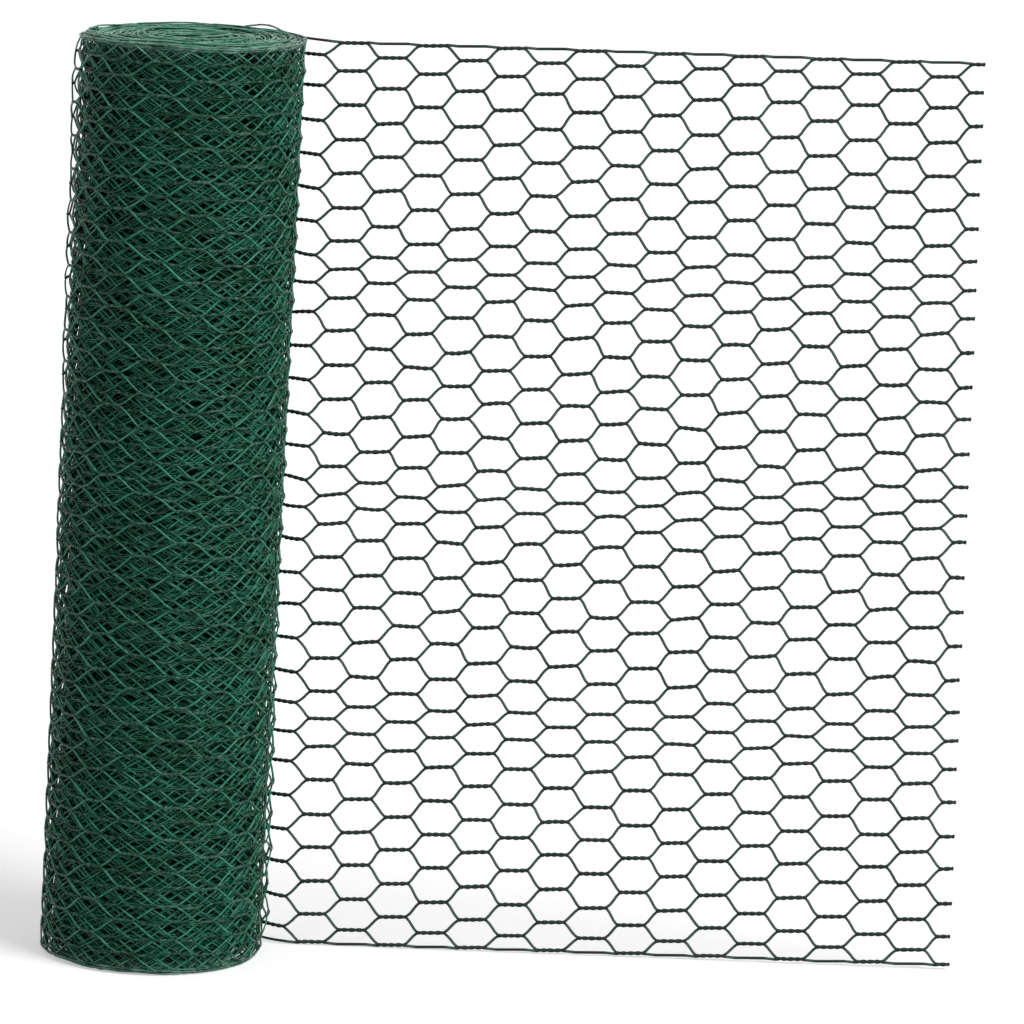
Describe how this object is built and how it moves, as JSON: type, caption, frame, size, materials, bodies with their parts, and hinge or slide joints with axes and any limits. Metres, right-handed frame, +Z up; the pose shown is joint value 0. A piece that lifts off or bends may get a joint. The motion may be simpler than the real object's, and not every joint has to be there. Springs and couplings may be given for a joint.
{
  "type": "roll of chicken wire",
  "caption": "Roll of green plastic-coated hexagonal wire netting standing on its end, with a flat length pulled off it and its wires cut at the free end.",
  "frame": {"origin": "on the roll's axis, in the plane of its lower end, which is the floor that it stands on", "axes": "+Z up along the roll's axis, +X along the flat length towards its cut end, +Y towards the side from which that length leaves the roll"},
  "size_m": [0.8855, 0.217, 0.9],
  "materials": {
    "coated_wire": "twisted steel wire under a dark green plastic coat, satin, slightly uneven"
  },
  "bodies": {
    "root": {"roll": "coated_wire", "tail_bend": "coated_wire", "tail_near": "coated_wire", "tail_middle": "coated_wire", "tail_end": "coated_wire"}
  },
  "joints": []
}
